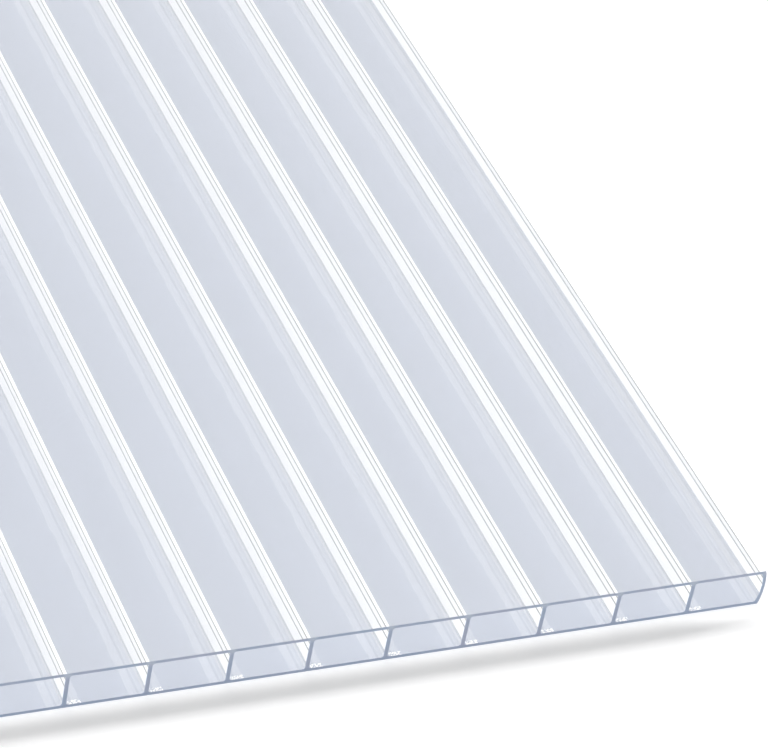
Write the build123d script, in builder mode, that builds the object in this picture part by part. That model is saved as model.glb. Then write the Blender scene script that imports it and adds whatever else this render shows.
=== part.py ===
"""Twin-wall polycarbonate sheet, one hollow extrusion, in millimetres.

Two flat skins are held apart by upright webs that run the whole length, so the section is a row
of open chambers. Each long side is closed by a wall that bows outwards a little. The sheet lies
flat: X is its width, Y runs along the chambers and Z is up. The origin is the middle of the
underside.
"""

import os

from build123d import *

# Overall size, as the sheet is sold
sheet_width = 1200.0  # over the bowed side walls
sheet_length = 2000.0  # along the chambers
sheet_thickness = 16.0  # over both skins

# Walls of the extrusion
skin = 1.25  # top and bottom skins
web = 1.6  # upright ribs between the chambers
side_wall = 1.25  # wall that closes each long side
side_bow = 1.0  # how far a side wall swells past the edges of the skins
nominal_pitch = 30.0  # web to web, before whole chambers are fitted into the width

# Radii left by the die
chamber_radius = 0.9  # where a web or a side wall meets a skin, inside the chamber
edge_radius = 0.5  # along the outer edges of the skins

# Whole chambers across the width, measured between the side walls' middles
chamber_count = round((sheet_width - side_wall) / nominal_pitch)
web_pitch = (sheet_width - side_wall) / chamber_count
inner_count = chamber_count - 2

# Half sizes of the section, from its centre
half_width = sheet_width / 2
half_height = sheet_thickness / 2
chamber_half_height = half_height - skin
skin_edge = half_width - side_bow  # where the flat skins end
last_web_face = half_width - side_wall / 2 - web_pitch + web / 2
wall_inside = half_width - side_wall  # inner face of the side wall at mid height
wall_inside_corner = skin_edge - side_wall  # the same face at the chamber's corners

# The section stands across the sheet at its far end, and is drawn out towards -Y
far_end = Plane(
    origin=(0, sheet_length / 2, half_height),
    x_dir=(1, 0, 0),
    z_dir=(0, -1, 0),
)


with BuildPart() as twinwall_sheet:
    with BuildSketch(far_end):
        # Outline: flat skins above and below, a shallow arc at each side
        with BuildLine():
            top = Line((-skin_edge, half_height), (skin_edge, half_height))
            right_bow = ThreePointArc(top @ 1, (half_width, 0), (skin_edge, -half_height))
            bottom = Line(right_bow @ 1, (-skin_edge, -half_height))
            ThreePointArc(bottom @ 1, (-half_width, 0), top @ 0)
        outline = make_face()
        fillet(outline.vertices(), radius=edge_radius)

        # Chambers between two webs
        with GridLocations(web_pitch, 0, inner_count, 1):
            RectangleRounded(
                web_pitch - web,
                2 * chamber_half_height,
                chamber_radius,
                mode=Mode.SUBTRACT,
            )

        # Chamber between the last web and the bowed side wall, on both sides
        with BuildSketch(mode=Mode.PRIVATE) as side_chamber:
            with BuildLine():
                ceiling = Line(
                    (last_web_face, chamber_half_height),
                    (wall_inside_corner, chamber_half_height),
                )
                inner_bow = ThreePointArc(
                    ceiling @ 1,
                    (wall_inside, 0),
                    (wall_inside_corner, -chamber_half_height),
                )
                floor = Line(inner_bow @ 1, (last_web_face, -chamber_half_height))
                Line(floor @ 1, ceiling @ 0)
            corners = make_face()
            fillet(corners.vertices(), radius=chamber_radius)
        add(side_chamber.sketch, mode=Mode.SUBTRACT)
        add(side_chamber.sketch.mirror(Plane.YZ), mode=Mode.SUBTRACT)
    extrude(amount=sheet_length)

twinwall_sheet.part.label = "twinwall_sheet"

print(f"{chamber_count} chambers, web pitch {web_pitch:.3f} mm")
print(f"clear chamber {web_pitch - web:.2f} x {2 * chamber_half_height:.2f} mm")
print(f"volume {twinwall_sheet.part.volume / 1e6:.3f} litres")

os.makedirs("parts", exist_ok=True)
export_step(twinwall_sheet.part, "parts/twinwall_sheet.step")
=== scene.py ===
# %% [markdown]
# # Lesson: a clear twin-wall roofing sheet
#
# The object is one long extrusion of clear plastic: two flat skins held apart by upright webs, with a
# row of open chambers between them. What the eye reads on it is less its colour than its layers. The
# lower skin tints the white floor blue-grey, each web shows through the upper skin as a milky stripe
# with two fine lines in it, and the sawn ends gather light and look darker than the rest. The lesson
# draws the section once, carries it along the sheet, and then builds each finish by itself.

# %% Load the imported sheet
import math

import bpy
import numpy as np
from mathutils import Matrix, Vector
from mathutils.geometry import tessellate_polygon


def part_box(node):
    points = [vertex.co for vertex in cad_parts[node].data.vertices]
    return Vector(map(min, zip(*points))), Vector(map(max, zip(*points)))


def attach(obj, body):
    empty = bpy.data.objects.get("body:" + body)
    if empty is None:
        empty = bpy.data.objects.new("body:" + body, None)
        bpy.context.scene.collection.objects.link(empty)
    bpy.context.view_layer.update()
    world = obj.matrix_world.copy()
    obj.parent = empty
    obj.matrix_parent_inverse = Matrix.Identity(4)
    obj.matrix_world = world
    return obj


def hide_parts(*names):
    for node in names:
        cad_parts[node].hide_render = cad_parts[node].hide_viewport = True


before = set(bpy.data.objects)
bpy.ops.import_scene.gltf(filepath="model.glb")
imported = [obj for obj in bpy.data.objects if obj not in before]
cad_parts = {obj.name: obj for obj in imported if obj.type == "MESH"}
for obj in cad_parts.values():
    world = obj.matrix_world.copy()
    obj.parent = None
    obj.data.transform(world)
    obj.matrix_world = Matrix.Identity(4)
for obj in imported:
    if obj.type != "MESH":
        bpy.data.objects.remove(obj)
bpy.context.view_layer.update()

MM = 0.001

# %% [markdown]
# ## Sizes
#
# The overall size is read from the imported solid, so the surface built here cannot drift from it. The
# walls of the extrusion are given again as real sizes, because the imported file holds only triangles.

# %% Read the sheet's size
sheet_low, sheet_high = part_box("twinwall_sheet")
length = sheet_high[1] - sheet_low[1]
thickness = sheet_high[2] - sheet_low[2]
front_end, rear_end = sheet_low[1], sheet_high[1]

skin = 1.25 * MM
web = 1.6 * MM
side_wall = 1.25 * MM
side_bow = 1.0 * MM
chamber_radius = 0.9 * MM
edge_radius = 0.5 * MM
nominal_pitch = 30.0 * MM

width = round((sheet_high[0] - sheet_low[0]) / MM) * MM
chamber_count = round((width - side_wall) / nominal_pitch)
pitch = (width - side_wall) / chamber_count
right_wall = width / 2 - side_wall / 2
mid_height = thickness / 2
clear_height = thickness - 2 * skin
print(f"{chamber_count} chambers at {pitch / MM:.2f} mm in a sheet {width:.3f} x {length:.3f} m")

# %% [markdown]
# ## Camera
#
# The photograph looks down on the front right corner with a long lens. A camera placed by eye takes
# many tries. Here the direction is an azimuth and an elevation, the small tilt of the picture is a
# roll, and the distance is in web pitches, because the evenly spaced webs were the ruler that the view
# was measured with.

# %% Where the camera stands
camera_azimuth = math.radians(-28.86)
camera_elevation = math.radians(37.48)
camera_roll = math.radians(11.66)
camera_distance = 50.71 * pitch
focal_pixels = 4005.0
picture_width = 768

front_corner = Vector((right_wall, front_end, thickness - skin / 2))
camera_target = front_corner + Vector((-3.309, 4.497, 0.0)) * pitch
camera_back = Vector((
    math.sin(camera_azimuth) * math.cos(camera_elevation),
    -math.cos(camera_azimuth) * math.cos(camera_elevation),
    math.sin(camera_elevation),
))
level_right = (-camera_back).cross(Vector((0.0, 0.0, 1.0))).normalized()
level_up = level_right.cross(-camera_back)
camera_right = level_right * math.cos(camera_roll) + level_up * math.sin(camera_roll)
camera_up = level_up * math.cos(camera_roll) - level_right * math.sin(camera_roll)

# %% Make the camera
camera_data = bpy.data.cameras.new("camera")
camera_data.sensor_width = 36.0
camera_data.lens = focal_pixels / picture_width * camera_data.sensor_width
camera_data.clip_end = 200.0
camera = bpy.data.objects.new("camera", camera_data)
bpy.context.collection.objects.link(camera)
camera_axes = Matrix((camera_right, camera_up, camera_back)).transposed().to_4x4()
camera.matrix_world = Matrix.Translation(camera_target + camera_back * camera_distance) @ camera_axes
bpy.context.scene.camera = camera
print(f"camera {camera_distance:.2f} m from its target, lens {camera_data.lens:.1f} mm")

# %% [markdown]
# ## The section
#
# Everything that is the same along the sheet can be drawn in the plane across it, as closed loops: the
# outline, and one loop for each chamber. Each step of a loop also gets a kind, which says what finish
# the strip of surface behind it will wear. The stripes could be painted by a texture instead. As
# strips of mesh their edges stay sharp however close one looks, and they stay in place on the sheet.
# Some of the strips carry painted light and shade from the webs.

# %% Kinds of strip
UPPER, LOWER, WEB_LIGHT_LINE, WEB_SHADE_LINE, WEB_LIGHT_BAND, WEB_LIGHT_EDGE, FOOT, SIDE_FOOT, WEB, CROWN, DIE_LINE, SAWN, RIM = range(13)
CORNER_STEPS = 6
SIDE_STEPS = 12


def corner_arc(centre_x, centre_z, radius, start):
    """A quarter turn: centre + radius * (cos a, sin a), with a from start to start + 90 degrees."""
    a = np.radians(np.linspace(start, start + 90.0, CORNER_STEPS + 1))
    return np.stack([centre_x + radius * np.cos(a), centre_z + radius * np.sin(a)], axis=1)


# %% [markdown]
# ### Up a wall
#
# From the bottom, a web has a nearly clear foot, a milky body and a crown that turns into the upper
# skin. The die scores two fine grooves along each face. They are cut into the mesh, so they catch the
# light from any side. The two side walls bow outwards a little, by a parabola.

# %% Wall of a chamber
foot_top, side_foot_top = 0.25, 0.31  # shares of a chamber's clear height
crown_start, side_crown_start = 0.875, 0.82
die_line_heights, side_die_line_heights = (0.67, 0.905), (0.64, 0.88)
die_line_widths, side_die_line_widths = (0.6 * MM, 0.6 * MM), (0.65 * MM, 1.1 * MM)
die_line_depth = 0.1 * MM
groove_shape = np.array([-0.5, -0.3, 0.3, 0.5])  # shares of the width
groove_depth = np.array([0.0, 1.0, 1.0, 0.0]) * die_line_depth


def wall_points(x, outward, bow):
    """Points up a wall at x + outward * (bow * (1 - s * s) + groove), where s runs from -1 to 1 up the
    clear height and groove is the depth of a die line where there is one. With them goes the kind of
    each step, from the corner below to the corner above."""
    lower_line, upper_line = side_die_line_heights if bow else die_line_heights
    lower_width, upper_width = side_die_line_widths if bow else die_line_widths
    heights = np.concatenate([
        [(side_foot_top if bow else foot_top) * clear_height],
        lower_line * clear_height + groove_shape * lower_width,
        [(side_crown_start if bow else crown_start) * clear_height],
        upper_line * clear_height + groove_shape * upper_width,
    ])
    grooves = np.concatenate([[0.0], groove_depth, [0.0], groove_depth])
    s = 2 * heights / clear_height - 1
    foot = SIDE_FOOT if bow else FOOT
    line = [DIE_LINE] * 3
    step_kinds = [foot, WEB, *line, WEB, CROWN, *line, CROWN]
    points = np.stack([x + outward * (bow * (1 - s * s) + grooves), skin + heights], axis=1)
    return points, np.array(step_kinds)


# %% [markdown]
# ### Across a chamber's floor
#
# Close to each web, light from the web is painted onto the lower skin: first a narrow pale line, then a
# darker line of painted shade, and then a wider pale band whose far edge is ragged.

# %% Floor of a chamber
floor_marks = np.array([1.5, 2.45, 5.0, 5.6]) * MM  # from the wall's face
floor_kinds = [WEB_LIGHT_LINE, WEB_SHADE_LINE, WEB_LIGHT_BAND, WEB_LIGHT_EDGE]


def floor_points(left, right):
    """Points across a chamber's floor at the marks from each wall, and the kinds of the steps."""
    x = np.concatenate([left + floor_marks, right - floor_marks[::-1]])
    points = np.stack([x, np.full(len(x), skin)], axis=1)
    return points, np.array(floor_kinds + [LOWER] + floor_kinds[::-1])


# %% Loops of the section
def chamber_loop(left, right, left_bow, right_bow):
    """One chamber, anticlockwise from its lower left corner: four quarter turns joined by a floor, two
    walls and a ceiling. With it goes the kind of the step from each point to the next."""
    r = chamber_radius
    low, high = skin + r, thickness - skin - r
    floor, floor_steps = floor_points(left, right)
    right_side, right_steps = wall_points(right, 1.0, right_bow)
    left_side, left_steps = wall_points(left, -1.0, left_bow)
    points = np.concatenate([
        corner_arc(left + r, low, r, 180.0),
        floor,
        corner_arc(right - r, low, r, 270.0),
        right_side,
        corner_arc(right - r, high, r, 0.0),
        corner_arc(left + r, high, r, 90.0),
        left_side[::-1],
    ])
    corner = np.ones(CORNER_STEPS, dtype=int)
    kinds = np.concatenate([
        corner * (SIDE_FOOT if left_bow else FOOT),
        floor_steps,
        corner * (SIDE_FOOT if right_bow else FOOT),
        right_steps,
        corner * CROWN,
        [UPPER],
        corner * CROWN,
        left_steps[::-1],
    ])
    return points, kinds


def outline_loop():
    """The outside, anticlockwise: flat skins, and sides at edge + side_bow * (1 - s * s), with s from -1
    to 1 up them. A climbing step above the foot is web, and the rest is the skin that it belongs to."""
    edge, r = width / 2 - side_bow, edge_radius
    foot_height = skin + side_foot_top * clear_height
    foot_share = 2 * foot_height / thickness - 1
    s = np.sort(np.append(np.linspace(-1.0, 1.0, SIDE_STEPS + 1)[1:-1], foot_share))
    side_x = edge + side_bow * (1 - s * s)
    side_z = mid_height + s * mid_height
    points = np.concatenate([
        corner_arc(-edge + r, r, r, 180.0),
        corner_arc(edge - r, r, r, 270.0),
        np.stack([side_x, side_z], axis=1),
        corner_arc(edge - r, thickness - r, r, 0.0),
        corner_arc(-edge + r, thickness - r, r, 90.0),
        np.stack([-side_x, side_z], axis=1)[::-1],
    ])
    after = np.roll(points, -1, axis=0)
    climbs = np.abs(after[:, 1] - points[:, 1]) > np.abs(after[:, 0] - points[:, 0])
    above_foot = (after[:, 1] + points[:, 1]) / 2 > foot_height
    kinds = np.where(above_foot, np.where(climbs, WEB, UPPER), LOWER)
    return points, kinds


web_middles = right_wall - pitch * np.arange(chamber_count, -1, -1)
outline, outline_kinds = outline_loop()
loops, kinds = [outline], [outline_kinds]
wall_foot = width / 2 - side_bow - side_wall
for k in range(chamber_count):
    first, last = k == 0, k == chamber_count - 1
    left = -wall_foot if first else web_middles[k] + web / 2
    right = wall_foot if last else web_middles[k + 1] - web / 2
    loop, loop_kinds = chamber_loop(left, right, side_bow * first, side_bow * last)
    loops.append(loop)
    kinds.append(loop_kinds)
kinds = np.concatenate(kinds)
print(f"{len(loops)} loops, {len(kinds)} points in the section")

# %% [markdown]
# ## The surface
#
# The section is carried along the sheet in four rings. The outer two lie in the sawn ends, and there
# each loop is drawn back into the plastic by a hair, which leaves the small rounded-off rim of an edge
# that has been scraped after sawing. The ends are the section filled in. Blender's own triangulator
# fills a figure with holes, so no face has to be placed by hand.

# %% Rings of points
rim = 0.12 * MM


def drawn_back(loop, hollow):
    """Each point moved into the plastic by rim, square to the line through its two neighbours."""
    along = np.roll(loop, -1, axis=0) - np.roll(loop, 1, axis=0)
    along /= np.linalg.norm(along, axis=1, keepdims=True)
    square = np.stack([-along[:, 1], along[:, 0]], axis=1)
    return loop + (-rim if hollow else rim) * square


def ring(section, y):
    """The section's points, set up across the sheet at y."""
    return np.stack([section[:, 0], np.full(len(section), y), section[:, 1]], axis=1)


full_section = np.concatenate(loops)
sawn_loops = [drawn_back(loop, hollow=(k > 0)) for k, loop in enumerate(loops)]
sawn_section = np.concatenate(sawn_loops)
total = len(full_section)
points = np.concatenate([
    ring(sawn_section, front_end),
    ring(full_section, front_end + rim),
    ring(full_section, rear_end - rim),
    ring(sawn_section, rear_end),
])
print(f"{len(points)} points in four rings")


# %% Faces between the rings and over the ends
def band_faces(count, start, hollow):
    """Faces from one ring of a loop to the next ring: point i joins point i + 1, and the last joins the
    first. Round an anticlockwise loop, this order of corners faces the inside, as a hollow's walls do."""
    i = np.arange(count)
    j = (i + 1) % count
    faces = np.stack([start + i, start + j, start + j + total, start + i + total], axis=1)
    return faces if hollow else faces[:, ::-1]


starts = np.cumsum([0] + [len(loop) for loop in loops[:-1]])
band = np.concatenate([
    band_faces(len(loop), start, hollow=(k > 0))
    for k, (loop, start) in enumerate(zip(loops, starts))
])
flat_loops = [[Vector((x, z, 0.0)) for x, z in loop.tolist()] for loop in sawn_loops]
cap = np.array(tessellate_polygon(flat_loops))
a, b, c = sawn_section[cap[:, 0]], sawn_section[cap[:, 1]], sawn_section[cap[:, 2]]
turn = (b[:, 0] - a[:, 0]) * (c[:, 1] - a[:, 1]) - (b[:, 1] - a[:, 1]) * (c[:, 0] - a[:, 0])
front_cap = np.where((turn > 0)[:, None], cap, cap[:, ::-1])
rear_cap = front_cap[:, ::-1] + 3 * total

quads = np.concatenate([band, band + total, band + 2 * total])
triangles = np.concatenate([front_cap, rear_cap])
rim_kinds = np.full(total, RIM)
face_kinds = np.concatenate([rim_kinds, kinds, rim_kinds, np.full(len(triangles), SAWN)])
print(f"{len(quads)} strips and {len(triangles)} triangles on the sawn ends")


# %% Put the surface into a mesh
def mesh_from(name, corner_points, quads, triangles):
    """A mesh from whole arrays: points, four-sided faces and three-sided faces."""
    mesh = bpy.data.meshes.new(name)
    mesh.vertices.add(len(corner_points))
    mesh.vertices.foreach_set("co", corner_points.ravel())
    sides = np.concatenate([np.full(len(quads), 4), np.full(len(triangles), 3)])
    mesh.loops.add(int(sides.sum()))
    mesh.loops.foreach_set("vertex_index", np.concatenate([quads.ravel(), triangles.ravel()]))
    mesh.polygons.add(len(sides))
    mesh.polygons.foreach_set("loop_start", np.concatenate([[0], np.cumsum(sides)[:-1]]))
    mesh.update(calc_edges=True)
    mesh.validate()
    return mesh


sharp_angle = math.radians(28.0)
sheet_mesh = mesh_from("twinwall_surface", points, quads, triangles)
sheet_mesh.polygons.foreach_set("material_index", face_kinds.astype(np.int32))
sheet_mesh.polygons.foreach_set("use_smooth", np.ones(len(face_kinds), dtype=bool))
sheet_mesh.set_sharp_from_angle(angle=sharp_angle)
sheet = bpy.data.objects.new("twinwall_surface", sheet_mesh)
bpy.context.collection.objects.link(sheet)
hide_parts("twinwall_sheet")
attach(sheet, "root")
print(f"{len(sheet_mesh.polygons)} faces in the surface")


# %% [markdown]
# ## Node trees in short calls
#
# Every finish below is a small node tree. Written out in full, the making and joining of nodes would
# hide what a finish is, so a helper does both in one call.

# %% Helper for node trees
gloss_colour = (0.93, 0.93, 0.93, 1.0)


class Nodes:
    """A node tree with an output, built with short calls."""

    def __init__(self, tree, output):
        self.tree = tree
        tree.nodes.clear()
        self.output = tree.nodes.new(output)

    def node(self, kind, settings=None, **inputs):
        """A node of one kind. An input is a value or another node's output, by name or as i0, i1, ..."""
        made = self.tree.nodes.new("ShaderNode" + kind)
        for key, value in (settings or {}).items():
            setattr(made, key, value)
        for key, value in inputs.items():
            numbered = key[0] == "i" and key[1:].isdigit()
            socket = made.inputs[int(key[1:])] if numbered else made.inputs[key]
            if isinstance(value, bpy.types.NodeSocket):
                self.tree.links.new(value, socket)
            else:
                socket.default_value = value
        return made

    def maths(self, operation, *values):
        """One step of arithmetic on values or node outputs."""
        inputs = {f"i{k}": value for k, value in enumerate(values)}
        return self.node("Math", {"operation": operation}, **inputs).outputs[0]

    def ramp(self, factor, stops):
        """A colour ramp from a list of (place, grey or colour)."""
        made = self.node("ValToRGB", i0=factor)
        elements = made.color_ramp.elements
        while len(elements) < len(stops):
            elements.new(0.5)
        for element, (place, value) in zip(elements, stops):
            element.position = place
            colour = (value,) * 3 if isinstance(value, (int, float)) else value
            element.color = (*colour, 1.0)
        return made.outputs[0]

    def between(self, factor, low, high):
        """A number or colour that runs from low to high as factor runs from 0 to 1."""
        return self.ramp(factor, [(0.0, low), (1.0, high)])

    def span(self, value, start, stop, at_start=0.0, at_stop=1.0):
        """A number from at_start to at_stop as value runs from start to stop, held at both ends."""
        ends = {"i1": start, "i2": stop, "i3": at_start, "i4": at_stop}
        return self.node("MapRange", i0=value, **ends).outputs[0]

    def number(self, factor, first, second):
        """A number mixed from two: first where factor is 0, second where it is 1."""
        return self.node("Mix", {"data_type": "FLOAT"}, i0=factor, i2=first, i3=second).outputs[0]

    def colour(self, factor, first, second):
        """A colour mixed in the same way."""
        return self.node("Mix", {"data_type": "RGBA"}, i0=factor, i6=first, i7=second).outputs[2]

    def scaled(self, first, second):
        """Two vectors or colours multiplied, part by part."""
        return self.node("VectorMath", {"operation": "MULTIPLY"}, i0=first, i1=second).outputs[0]

    def mixed(self, factor, first, second):
        """A shader mixed from two."""
        return self.node("MixShader", i0=factor, i1=first, i2=second).outputs[0]

    def clear(self, colour):
        return self.node("BsdfTransparent", Color=colour).outputs[0]

    def matt(self, colour):
        return self.node("BsdfDiffuse", Color=colour).outputs[0]

    def gloss(self, roughness, **inputs):
        made = self.node("BsdfAnisotropic", Color=gloss_colour, Roughness=roughness, **inputs)
        return made.outputs[0]

    def show(self, shader):
        self.tree.links.new(shader, self.output.inputs["Surface"])


def new_finish(name):
    """A material with an empty node tree."""
    material = bpy.data.materials.new(name)
    material.use_nodes = True
    return material, Nodes(material.node_tree, "ShaderNodeOutputMaterial")


# %% [markdown]
# ### Where a point lies
#
# All patterns read the piece's own coordinates, in metres, so they keep their real scale and stay on
# the sheet when it moves. Three readings serve every finish: how high a point is between the skins,
# how far it is from the nearest web, and a noise drawn out along the sheet, because whatever an
# extrusion die leaves behind, it leaves as long streaks.

# %% Readings of place
def own_place(tree):
    """The point in the sheet's own frame."""
    return tree.node("TexCoord").outputs["Object"]


def place_in(tree):
    """X, Y and Z of the point in the sheet's own frame."""
    return tree.node("SeparateXYZ", i0=own_place(tree)).outputs


def clear_share(tree):
    """Height as a share of the clear height: (z - skin) / clear_height."""
    return tree.maths("DIVIDE", tree.maths("SUBTRACT", place_in(tree)["Z"], skin), clear_height)


def from_web(tree):
    """Distance to the middle of the nearest web."""
    return tree.maths("PINGPONG", tree.maths("SUBTRACT", place_in(tree)["X"], right_wall), pitch / 2)


def streaks(tree, across, along, detail=2.0):
    """Noise with its coordinates divided by across in X and Z, and by along in Y."""
    place = tree.scaled(own_place(tree), (1 / across, 1 / along, 1 / across))
    return tree.node("TexNoise", Vector=place, Scale=1.0, Detail=detail).outputs[0]


def within(tree):
    """1 for a view that meets the surface from within the plastic, and 0 from outside."""
    return tree.node("NewGeometry").outputs["Backfacing"]


# %% [markdown]
# ## Polish
#
# All of the extruded surface is glossy. A glass shader would also bend the view in every one of the
# many thin layers, which is slow and noisy, and in walls this thin nobody would see it. So each layer
# is see-through in a straight line, with a shine on top whose strength follows Fresnel's law. The law
# needs the index of the plastic from outside and its inverse from inside. The outer faces are sharp
# mirrors. Inside the chambers and inside the plastic the shine is blurred, or each web would be seen
# again, upside down, in the floor beside it. The blur fades where the view grazes the sheet, as it
# does on any slightly rough surface.

# %% Shine over a body
plastic_index = 1.585
sharp_roughness = 0.03  # to twice that, by the ripple
blurred_roughness = 0.35
satin_roughness = 0.3
steep_share, grazing_share = 0.10, 0.20  # Fresnel's share, where the blur starts to fade and is gone


def polished(tree, body):
    """body under a gloss. The share of gloss is Fresnel's, and it ripples a little along the sheet."""
    ripple = streaks(tree, 4 * MM, 300 * MM)
    slope = tree.node("Bump", Strength=0.10, Distance=0.1 * MM, Height=ripple).outputs[0]
    inside = within(tree)
    index = tree.number(inside, plastic_index, 1 / plastic_index)
    share = tree.node("Fresnel", IOR=index).outputs[0]
    in_chamber = tree.maths("COMPARE", place_in(tree)["Z"], mid_height, (clear_height + skin) / 2)
    steep = tree.span(share, steep_share, grazing_share, 1.0, 0.0)
    blur = tree.maths("MULTIPLY", steep, tree.maths("MAXIMUM", inside, in_chamber))
    sharp = tree.maths("MULTIPLY_ADD", ripple, sharp_roughness, sharp_roughness)
    roughness = tree.number(blur, sharp, blurred_roughness)
    return tree.mixed(share, body, tree.gloss(roughness, Normal=slope))


def satin(tree, outside, inside):
    """A duller gloss over outside, and inside as it is for a view that comes from within the plastic."""
    share = tree.node("Fresnel", IOR=plastic_index).outputs[0]
    return tree.mixed(within(tree), tree.mixed(share, outside, tree.gloss(satin_roughness)), inside)


# %% [markdown]
# ## Upper skin
#
# The upper skin lets nearly all light through. What tells the eye that it is there is its shine, and
# the faint streaks that the die leaves along it.

# %% Upper skin
upper_tint_dark = (0.970, 0.971, 0.974)
upper_tint_pale = (0.982, 0.983, 0.986)


def upper_skin():
    material, tree = new_finish("upper_skin")
    tint = tree.between(streaks(tree, 6 * MM, 400 * MM), upper_tint_dark, upper_tint_pale)
    tree.show(polished(tree, tree.clear(tint)))
    return material


# %% [markdown]
# ## Lower skin
#
# Looking down into the sheet, the lower skin gathers the tint of the plastic and lays it over the
# white floor. Each of its two faces takes a part of the tint. Beside each web, light from the web is
# painted onto the lower skin. It could be a share of matt white over the tint, but a shader that deals
# out two kinds of surface by chance is grainy in such thin bands. So the painted light is a tint moved
# part of the way to clear. By the sawn ends, just right of each web, the saw leaves tiny burrs, and
# their glints are painted as matt white spots in the same shader. The burrs are too small to model.

# %% Tint and painted glints of the lower skin
lower_tint_dark = (0.830, 0.849, 0.889)
lower_tint_pale = (0.842, 0.861, 0.899)
# Tints of the painted shade line beside each web.
web_shade_tint_dark = (0.812, 0.831, 0.871)
web_shade_tint_pale = (0.824, 0.843, 0.882)
# Painted glints: matt white spots where the burrs at the sawn ends catch the light.
glint_white = (0.98, 0.985, 0.99, 1.0)
glint_start, glint_stop = 1.6 * MM, 6.4 * MM  # right of a web's middle
glint_reach = 2.0 * MM  # from the sawn end
glint_width, glint_length = 0.55 * MM, 0.7 * MM  # scale of the noise
glint_threshold = 0.47


def burr_glints(tree):
    """1 on a painted glint of a burr and 0 elsewhere: near an end, in a short stretch right of each web,
    on the inner face, where a noise with spots about 1 mm wide is high."""
    place = place_in(tree)
    to_end = tree.maths("SUBTRACT", length / 2, tree.maths("ABSOLUTE", place["Y"]))
    near_end = tree.maths("LESS_THAN", to_end, glint_reach)
    right_of_web = tree.maths("WRAP", tree.maths("SUBTRACT", place["X"], right_wall), pitch, 0.0)
    after = tree.maths("GREATER_THAN", right_of_web, glint_start)
    before = tree.maths("LESS_THAN", right_of_web, glint_stop)
    inner = tree.maths("GREATER_THAN", place["Z"], skin / 2)
    speckle = streaks(tree, glint_width, glint_length, detail=0.0)
    spot = tree.maths("GREATER_THAN", speckle, glint_threshold)
    stretch = tree.maths("MULTIPLY", after, before)
    edge = tree.maths("MULTIPLY", near_end, inner)
    return tree.maths("MULTIPLY", tree.maths("MULTIPLY", stretch, edge), spot)


def paler(tint, share):
    """A tint moved towards clear: tint + share * (1 - tint)."""
    return tuple(part + share * (1 - part) for part in tint)


def lower_body(tree, share, dark=lower_tint_dark, pale=lower_tint_pale):
    """The lower skin's tint moved towards clear by share, with the painted glints on top."""
    tint = tree.between(streaks(tree, 6 * MM, 400 * MM), dark, pale)
    tint = tree.colour(share, tint, (1.0, 1.0, 1.0, 1.0))
    return tree.mixed(burr_glints(tree), tree.clear(tint), tree.matt(glint_white))


# %% Lower skin, with painted lines and a painted band of light from the webs
web_light_line_share = 0.23
web_light_band_share = 0.43
fringe_start, fringe_rise = 0.35, 0.3  # noise that the painted band needs: at the near edge, and more at the far one
fringe_contrast = 25.0


def lower_skin():
    material, tree = new_finish("lower_skin")
    tree.show(polished(tree, lower_body(tree, 0.0)))
    return material


def painted_web_light_line():
    """A narrow pale line of painted light from the web, which comes and goes along the sheet."""
    material, tree = new_finish("painted_web_light_line")
    share = tree.between(streaks(tree, 20 * MM, 150 * MM), 0.6 * web_light_line_share, 1.4 * web_light_line_share)
    tree.show(polished(tree, lower_body(tree, share)))
    return material


def painted_web_shade_line():
    """A narrow line of painted shade, in a deeper tint."""
    material, tree = new_finish("painted_web_shade_line")
    tree.show(polished(tree, lower_body(tree, 0.0, web_shade_tint_dark, web_shade_tint_pale)))
    return material


def painted_web_light_band():
    """A wider pale band of painted light from the web, with faint streaks in it."""
    material, tree = new_finish("painted_web_light_band")
    long_noise = streaks(tree, 1.5 * MM, 400 * MM, detail=0.0)
    share = tree.between(long_noise, 0.8 * web_light_band_share, 1.2 * web_light_band_share)
    tree.show(polished(tree, lower_body(tree, share)))
    return material


def painted_web_light_edge():
    """The ragged far edge of the painted band: pale where a noise is higher than the share of the way
    across.
    """
    material, tree = new_finish("painted_web_light_edge")
    inner, outer = web / 2 + floor_marks[-2], web / 2 + floor_marks[-1]
    across = tree.maths("DIVIDE", tree.maths("SUBTRACT", from_web(tree), inner), outer - inner)
    needed = tree.maths("MULTIPLY_ADD", across, fringe_rise, fringe_start)
    above = tree.maths("SUBTRACT", streaks(tree, 40 * MM, 12 * MM), needed)
    clamped = {"operation": "MULTIPLY_ADD", "use_clamp": True}
    edge = tree.node("Math", clamped, i0=above, i1=fringe_contrast, i2=0.5).outputs[0]
    tree.show(polished(tree, lower_body(tree, tree.maths("MULTIPLY", edge, web_light_band_share))))
    return material


# %% [markdown]
# ## Webs
#
# A web is as clear as the skins, but one looks into it almost along its length, so it fills with light
# and reads as milky white. Its foot stays nearly clear, because there the view passes straight down
# into the lower skin. A volume would give that by itself and would render slowly. Here the milk is a
# share of matt white in the surface, given by height.

# %% Foot of a web and of a side wall
# The feet carry painted lines of light and shade from the webs, as the lower skin does beside them.
foot_grey = (0.889, 0.889, 0.879)
side_foot_tint = (0.785, 0.805, 0.846)
inside_clear = (0.985, 0.985, 0.965, 1.0)


def foot_surface(name, tints):
    """From outside, a tint that goes by height, a little uneven along the sheet. From inside, clear."""
    material, tree = new_finish(name)
    uneven = tree.between(streaks(tree, 20 * MM, 150 * MM), 0.98, 1.0)
    by_height = tree.ramp(clear_share(tree), tints)
    tint = tree.scaled(by_height, uneven)
    tree.show(satin(tree, tree.clear(tint), tree.clear(inside_clear)))
    return material


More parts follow.
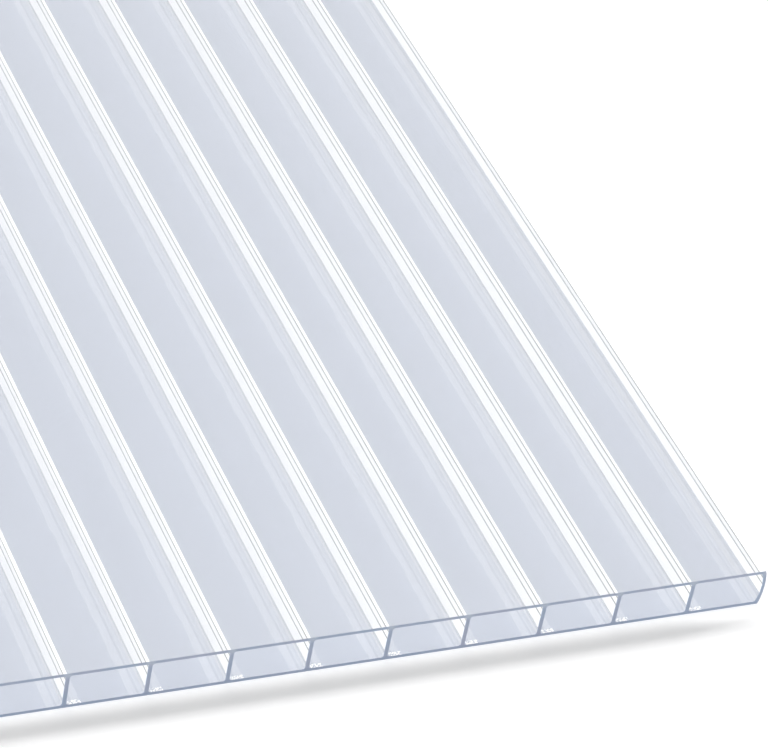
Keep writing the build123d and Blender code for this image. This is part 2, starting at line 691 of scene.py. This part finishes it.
def web_foot():
    """Tinted like the lower skin at the very bottom, with one pale line, and then a clearer grey. The
    pale line and the darker tint around it are painted light and shade from the web.
    """
    tinted = paler(lower_tint_dark, 0.11)
    pale_line = paler(lower_tint_pale, 0.97)
    return foot_surface("web_foot", [
        (0.0, paler(lower_tint_dark, 0.20)),
        (0.01, tinted), (0.04, tinted),
        (0.055, pale_line), (0.135, pale_line),
        (0.155, tinted), (0.18, tinted),
        (0.20, foot_grey), (1.0, foot_grey),
    ])


def side_foot():
    """Tinted all the way up, because no other chamber lies behind it, with painted lines of light and
    shade at the bottom, and a painted shade that is deepest just under the milk.
    """
    pale_line = paler(lower_tint_pale, 0.36)
    return foot_surface("side_foot", [
        (0.0, web_shade_tint_pale), (0.02, web_shade_tint_pale),
        (0.035, pale_line), (0.16, pale_line),
        (0.19, side_foot_tint), (1.0, side_foot_tint),
    ])


# %% Milky web and its crown
web_milk = 0.93  # share of white
web_white = (0.97, 0.972, 0.975, 1.0)
web_white_dark = (0.955, 0.957, 0.961)
web_white_pale = (0.985, 0.987, 0.989)


def milky_body(tree, colour):
    """A share of matt colour over nearly clear plastic."""
    return tree.mixed(web_milk, tree.clear(inside_clear), tree.matt(colour))


def streaked_white(tree):
    """Web white, a little darker and lighter in long streaks."""
    return tree.between(streaks(tree, 1.5 * MM, 200 * MM), web_white_dark, web_white_pale)


def milky_web():
    material, tree = new_finish("milky_web")
    body = milky_body(tree, streaked_white(tree))
    tree.show(satin(tree, body, body))
    return material


def web_crown():
    """Milky from outside. From inside it is clear, because that view comes through the upper skin."""
    material, tree = new_finish("web_crown")
    body = milky_body(tree, streaked_white(tree))
    tree.show(satin(tree, body, tree.clear(inside_clear)))
    return material


# %% [markdown]
# ## Die lines
#
# Each groove that the die scores into a web shows as a thin grey line in the white, and that grey is
# painted shade in the groove. From inside the web it must not show, or every web would carry its
# neighbour's lines too.

# %% Die line and its painted shade
# Painted shade of a groove: the grey of the die line in the white.
groove_shade_dark = (0.17, 0.18, 0.175)
groove_shade_pale = (0.34, 0.35, 0.34)


def die_line_painted_shade():
    """Painted shade, grey from outside. From inside it is white in the body of the web, and clear in its
    crown.
    """
    material, tree = new_finish("die_line_painted_shade")
    grey = tree.between(streaks(tree, 20 * MM, 25 * MM), groove_shade_dark, groove_shade_pale)
    in_crown = tree.maths("GREATER_THAN", clear_share(tree), crown_start)
    inside = tree.mixed(in_crown, milky_body(tree, web_white), tree.clear(inside_clear))
    tree.show(satin(tree, milky_body(tree, grey), inside))
    return material


# %% [markdown]
# ## Sawn ends
#
# Light that is caught in the skins and webs runs along them and comes out at the sawn ends as a deep
# blue-grey, and the ends' colour is that light, painted. The colour wanders between bluer and more
# violet along the edge. The painted light is paler where a web joins the upper skin and deeper all
# along the lower skin. The saw leaves fine upright strokes, and the scraped rim carries a painted
# highlight that makes it a touch paler.

# %% Sawn end and rim, in painted light
end_blue = (0.34, 0.42, 0.56)
end_violet = (0.39, 0.43, 0.56)
end_pale = (0.50, 0.56, 0.66, 1.0)
end_deep = (0.27, 0.34, 0.48, 1.0)
stroke_width = 0.35 * MM
strokes_up = 90.0  # scale of the strokes' noise in Z
joint_core, joint_reach = 0.6 * MM, 2.2 * MM  # from the web's middle
joint_bottom, joint_top = thickness - 2.4 * MM, thickness - 1.2 * MM
joint_share, deep_share, stroke_share = 0.7, 0.6, 0.5
# Painted highlight on the scraped rim.
rim_highlight = 0.05


def sawn_surface(name, lighter):
    """The end's painted light by noise along the edge, paler by lighter and at the joints, with saw
    strokes.
    lighter is a painted highlight.
    """
    material, tree = new_finish(name)
    wander = streaks(tree, 14 * MM, 14 * MM, detail=1.0)
    ground = tree.ramp(wander, [(0.35, end_blue), (0.65, end_violet)])
    up = place_in(tree)["Z"]
    near = tree.span(from_web(tree), joint_core, joint_reach, 1.0, 0.0)
    joint = tree.maths("MULTIPLY", near, tree.span(up, joint_bottom, joint_top))
    pale = tree.maths("MULTIPLY_ADD", joint, joint_share * (1 - lighter), lighter)
    stroke_place = tree.scaled(own_place(tree), (1 / stroke_width, 1.0, strokes_up))
    strokes = tree.node("TexNoise", Vector=stroke_place, Scale=1.0, Detail=3.0).outputs[0]
    uneven = tree.maths("MULTIPLY", tree.maths("SUBTRACT", strokes, 0.5), stroke_share)
    ground = tree.colour(tree.span(up, skin, 1.5 * skin, deep_share, 0.0), ground, end_deep)
    colour = tree.colour(tree.maths("ADD", pale, uneven), ground, end_pale)
    slope = tree.node("Bump", Strength=0.4, Distance=0.05 * MM, Height=strokes).outputs[0]
    rough = tree.between(strokes, 0.30, 0.55)
    surface = tree.node("BsdfPrincipled", **{
        "Base Color": colour, "Roughness": rough, "IOR": plastic_index, "Normal": slope,
    })
    tree.show(surface.outputs[0])
    return material


def sawn_end():
    return sawn_surface("sawn_end", 0.0)


def sawn_rim_highlight():
    return sawn_surface("sawn_rim_highlight", rim_highlight)


# %% Dress the sheet
finishes = {
    UPPER: upper_skin,
    LOWER: lower_skin,
    WEB_LIGHT_LINE: painted_web_light_line,
    WEB_SHADE_LINE: painted_web_shade_line,
    WEB_LIGHT_BAND: painted_web_light_band,
    WEB_LIGHT_EDGE: painted_web_light_edge,
    FOOT: web_foot,
    SIDE_FOOT: side_foot,
    WEB: milky_web,
    CROWN: web_crown,
    DIE_LINE: die_line_painted_shade,
    SAWN: sawn_end,
    RIM: sawn_rim_highlight,
}
for kind in sorted(finishes):
    sheet_mesh.materials.append(finishes[kind]())
print(f"{len(sheet_mesh.materials)} finishes on the sheet")

# %% [markdown]
# ## Floor
#
# The sheet lies on a plain white floor. A floor that is lit to pure white would need strong lamps, and
# they would wash out the sheet. So the floor is a matt near-white, and the camera's own view of it is
# lifted by a little glow. It still darkens where the sheet keeps the light off it.

# %% Floor
floor_drop = 0.4 * MM
floor_half = 30.0
floor_white = (0.92, 0.92, 0.92, 1.0)
floor_glow = 0.10


def flat_piece(name, corners):
    """An object with one face, from its corners in order."""
    mesh = bpy.data.meshes.new(name)
    mesh.from_pydata(corners, [], [tuple(range(len(corners)))])
    made = bpy.data.objects.new(name, mesh)
    bpy.context.collection.objects.link(made)
    return made


def pale_floor():
    material, tree = new_finish("pale_floor")
    camera_ray = tree.node("LightPath").outputs["Is Camera Ray"]
    glow = tree.node("Emission", Strength=tree.maths("MULTIPLY", camera_ray, floor_glow)).outputs[0]
    tree.show(tree.node("AddShader", i0=tree.matt(floor_white), i1=glow).outputs[0])
    return material


floor = flat_piece("floor", [
    (-floor_half, -floor_half, -floor_drop),
    (floor_half, -floor_half, -floor_drop),
    (floor_half, floor_half, -floor_drop),
    (-floor_half, floor_half, -floor_drop),
])
floor.data.materials.append(pale_floor())
print(f"floor {2 * floor_half:.0f} m across, {floor_drop / MM:.1f} mm under the sheet")

# %% [markdown]
# ## World
#
# The world is white to the eye, as a studio tent is, but it lights the sheet at a lower level, so that
# pale surfaces keep their tone. In reflections it is white overhead and grey near the horizon. Without
# that, the polished skins would vanish into the white floor when they are seen from low down.

# %% White studio world
world_light, world_seen, horizon_seen = 0.57, 1.0, 0.6
horizon_top, white_from = 0.05, 0.50  # sines of the height in the sky
world = bpy.data.worlds.new("studio")
bpy.context.scene.world = world
world.use_nodes = True
sky = Nodes(world.node_tree, "ShaderNodeOutputWorld")
ways = sky.node("LightPath").outputs
up = sky.node("SeparateXYZ", i0=sky.node("TexCoord").outputs["Generated"]).outputs["Z"]
in_gloss = sky.span(up, horizon_top, white_from, horizon_seen, world_seen)
unseen = sky.number(ways["Is Glossy Ray"], world_light, in_gloss)
seen = sky.maths("MAXIMUM", ways["Is Camera Ray"], ways["Is Transmission Ray"])
strength = sky.number(seen, unseen, world_seen)
sky.show(sky.node("Background", Color=(1.0, 1.0, 1.0, 1.0), Strength=strength).outputs[0])
print(f"world {world_seen} to the eye, {world_light} as light, {horizon_seen} at the horizon in gloss")

# %% [markdown]
# ## Lamps
#
# Two level fills light the webs from the sides without touching the floor, so the milky stripes come
# out white. A soft lamp from behind and above gives the floor its tone. In the photograph a thin soft
# shadow lies a little in front of the sheet, with a white gap between. A narrow card over the front
# edge, which the camera cannot see, casts that shadow.

# %% Lamps
def lamp(name, direction, energy, angle=0.0, shadow=True):
    """A distant lamp that shines along a direction."""
    data = bpy.data.lights.new(name, "SUN")
    data.energy = energy
    data.use_shadow = shadow
    data.angle = math.radians(angle)
    made = bpy.data.objects.new(name, data)
    made.rotation_mode = "QUATERNION"
    made.rotation_quaternion = Vector(direction).to_track_quat("-Z", "Y")
    made.visible_glossy = False
    bpy.context.collection.objects.link(made)
    return made


lamp("left_fill", (1.0, 0.1, -0.05), energy=1.75, shadow=False)
lamp("right_fill", (-1.0, 0.1, -0.05), energy=1.0, shadow=False)
edge_light = lamp("edge_light", (0.0, -0.71, -0.71), energy=1.85, angle=12.0)

# %% Shadow card
card_near, card_far = 4.8 * MM, 13.5 * MM  # from the front end, inwards
card_height = thickness + 0.5 * MM
taper_start, taper_end = width / 2 - 40 * MM, width / 2 - 3 * MM
card_tip = front_end + 7.8 * MM
card = flat_piece("shadow_card", [
    (-width / 2, front_end + card_near, card_height),
    (taper_start, front_end + card_near, card_height),
    (taper_end, card_tip, card_height),
    (taper_start, front_end + card_far, card_height),
    (-width / 2, front_end + card_far, card_height),
])
for ray in ("camera", "diffuse", "glossy", "transmission", "volume_scatter"):
    setattr(card, "visible_" + ray, False)
blockers = bpy.data.collections.new("edge_light_blockers")
blockers.objects.link(card)
edge_light.light_linking.blocker_collection = blockers
print(f"card {(card_far - card_near) / MM:.1f} mm wide over the front edge")

# %% [markdown]
# ## Render settings
#
# A view through the sheet passes many layers, so many see-through steps are allowed. Few of them
# bounce, so the other limits stay low.

# %% Render settings
scene = bpy.context.scene
scene.view_settings.view_transform = "Standard"
scene.cycles.transparent_max_bounces = 96
scene.cycles.max_bounces = 6
scene.cycles.diffuse_bounces = 3
scene.cycles.glossy_bounces = 3
